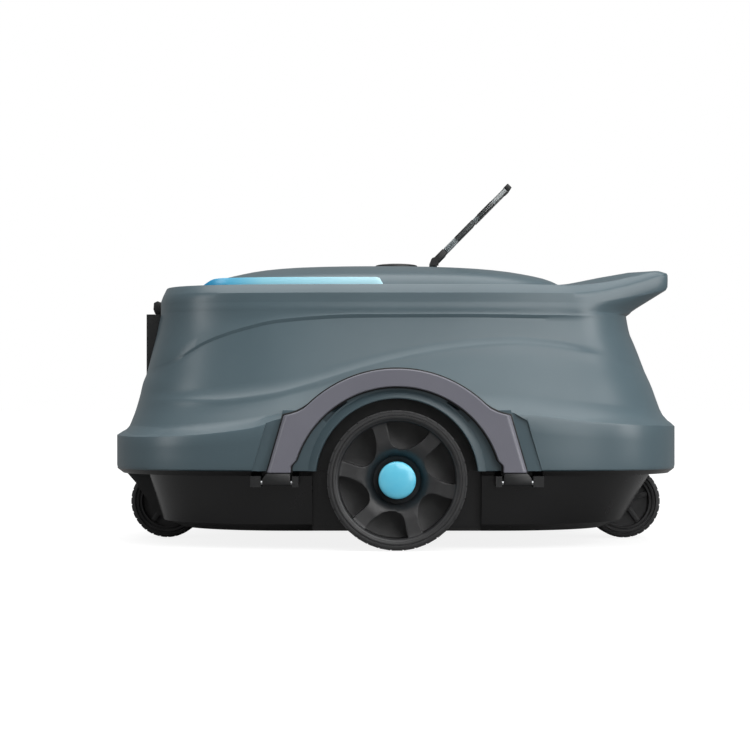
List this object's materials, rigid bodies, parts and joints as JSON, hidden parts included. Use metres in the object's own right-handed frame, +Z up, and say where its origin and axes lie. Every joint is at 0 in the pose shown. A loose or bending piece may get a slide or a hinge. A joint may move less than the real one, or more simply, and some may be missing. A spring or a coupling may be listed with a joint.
{
  "type": "pool cleaner",
  "caption": "Cordless robotic pool cleaner with a lift-off cover held by side latches, side wheels, end rollers, a filter basket and a swinging clear fin.",
  "frame": {"origin": "on the floor under the middle of the machine, where the wheels stand", "axes": "+X from front to rear, +Y to the machine's right, +Z up"},
  "size_m": [0.419, 0.37, 0.2713],
  "materials": {
    "shell_plastic": "satin moulded ABS, blue-grey",
    "latch_plastic": "satin moulded polypropylene, warm grey",
    "hull_plastic": "gloss black moulded ABS",
    "dark_plastic": "satin black moulded polypropylene",
    "wheel_plastic": "satin dark grey moulded nylon",
    "tyre_rubber": "matt black rubber",
    "hub_blue": "gloss light blue moulded ABS",
    "accent_blue": "satin pale blue moulded ABS",
    "clear_plastic": "clear polycarbonate",
    "steel": "turned stainless steel",
    "brass": "machined brass",
    "seal_rubber": "moulded silicone rubber",
    "mesh_cloth": "woven nylon filter mesh",
    "inner_plastic": "matt light grey moulded ABS",
    "board": "green circuit board"
  },
  "bodies": {
    "base": {"base_hull": "hull_plastic", "housing_screws": "steel", "latch_ears": "dark_plastic", "latch_pins": "steel", "cover_gasket": "seal_rubber", "wheel_bushes": "brass", "front_fork": "dark_plastic", "rear_strut": "dark_plastic", "roller_pins": "steel", "inlet_frame": "dark_plastic", "pump_motor": "steel", "shaft_seal": "seal_rubber", "pump_tube": "dark_plastic", "battery_pack": "inner_plastic", "control_box": "dark_plastic", "control_board": "board", "charge_socket": "dark_plastic", "well_panels": "dark_plastic", "drive_motors": "steel", "drive_housing_left": "dark_plastic", "drive_housing_right": "dark_plastic"},
    "cover": {"cover_shell": "shell_plastic", "rear_handle": "shell_plastic", "dome_lid": "shell_plastic", "button_boot": "seal_rubber", "accent_strips": "accent_blue", "nozzle_frame": "dark_plastic", "nozzle_grille": "dark_plastic", "outlet_duct": "inner_plastic", "fin_bracket": "dark_plastic", "fin_pin": "steel", "arch_liner_left": "shell_plastic", "arch_liner_right": "shell_plastic"},
    "fin": {"fin_sleeve": "dark_plastic", "fin_blade": "clear_plastic", "fin_tip": "dark_plastic"},
    "button": {"power_button": "dark_plastic"},
    "impeller": {"impeller": "inner_plastic"},
    "inlet_flap": {"inlet_flap": "seal_rubber"},
    "basket": {"filter_basket": "inner_plastic", "filter_mesh": "mesh_cloth"},
    "front_roller": {"front_roller": "tyre_rubber"},
    "rear_rollers": {"rear_rollers": "tyre_rubber"},
    "charge_plug": {"charge_plug": "seal_rubber"},
    "latch_left": {"latch_left": "latch_plastic"},
    "wheel_left": {"wheel_left": "wheel_plastic", "wheel_spokes_left": "wheel_plastic", "tyre_left": "tyre_rubber", "hub_cap_left": "hub_blue", "axle_left": "steel", "wheel_gear_left": "wheel_plastic"},
    "drive_pinion_left": {"drive_pinion_left": "brass"},
    "latch_right": {"latch_right": "latch_plastic"},
    "wheel_right": {"wheel_right": "wheel_plastic", "wheel_spokes_right": "wheel_plastic", "tyre_right": "tyre_rubber", "hub_cap_right": "hub_blue", "axle_right": "steel", "wheel_gear_right": "wheel_plastic"},
    "drive_pinion_right": {"drive_pinion_right": "brass"}
  },
  "joints": [
    {"name": "cover_lift", "type": "slide", "parent": "base", "child": "cover", "axis": [0, 0, 1], "range_m": [0, 0.18]},
    {"name": "fin_swing", "type": "hinge", "parent": "cover", "child": "fin", "pos_m": [0.03, 0, 0.2114], "axis": [0, -1, 0], "range_deg": [0, 80]},
    {"name": "button_press", "type": "slide", "parent": "cover", "child": "button", "axis": [0, 0, -1], "range_m": [0, 0.0015], "stiffness_N_per_m": 600, "springref_m": -0.001},
    {"name": "impeller_spin", "type": "hinge", "parent": "base", "child": "impeller", "pos_m": [0, 0, 0.1], "axis": [0, 0, 1], "continuous": true},
    {"name": "inlet_flap_open", "type": "hinge", "parent": "base", "child": "inlet_flap", "pos_m": [-0.0898, 0, 0.0206], "axis": [0, 1, 0], "range_deg": [0, 60]},
    {"name": "basket_lift", "type": "slide", "parent": "base", "child": "basket", "axis": [0, 0, 1], "range_m": [0, 0.026]},
    {"name": "front_roller_spin", "type": "hinge", "parent": "base", "child": "front_roller", "pos_m": [-0.175, 0, 0.028], "axis": [0, 1, 0], "continuous": true},
    {"name": "rear_rollers_spin", "type": "hinge", "parent": "base", "child": "rear_rollers", "pos_m": [0.175, 0, 0.028], "axis": [0, 1, 0], "continuous": true},
    {"name": "charge_plug_pull", "type": "slide", "parent": "base", "child": "charge_plug", "axis": [1, 0, 0], "range_m": [0, 0.02]},
    {"name": "latch_left_swing", "type": "hinge", "parent": "base", "child": "latch_left", "pos_m": [0, -0.1713, 0.047], "axis": [1, 0, 0], "range_deg": [0, 110]},
    {"name": "wheel_left_spin", "type": "hinge", "parent": "base", "child": "wheel_left", "pos_m": [0, -0.1675, 0.049], "axis": [0, 1, 0], "continuous": true},
    {"name": "pinion_left_spin", "type": "hinge", "parent": "base", "child": "drive_pinion_left", "pos_m": [0.02673, -0.1315, 0.07573], "axis": [0, 1, 0], "continuous": true},
    {"name": "latch_right_swing", "type": "hinge", "parent": "base", "child": "latch_right", "pos_m": [0, 0.1713, 0.047], "axis": [-1, 0, 0], "range_deg": [0, 110]},
    {"name": "wheel_right_spin", "type": "hinge", "parent": "base", "child": "wheel_right", "pos_m": [0, 0.1675, 0.049], "axis": [0, 1, 0], "continuous": true},
    {"name": "pinion_right_spin", "type": "hinge", "parent": "base", "child": "drive_pinion_right", "pos_m": [0.02673, 0.1315, 0.07573], "axis": [0, 1, 0], "continuous": true}
  ],
  "couplings": [
    {"joint": "pinion_left_spin", "follows": "wheel_left_spin", "ratio": -4},
    {"joint": "pinion_right_spin", "follows": "wheel_right_spin", "ratio": -4}
  ]
}
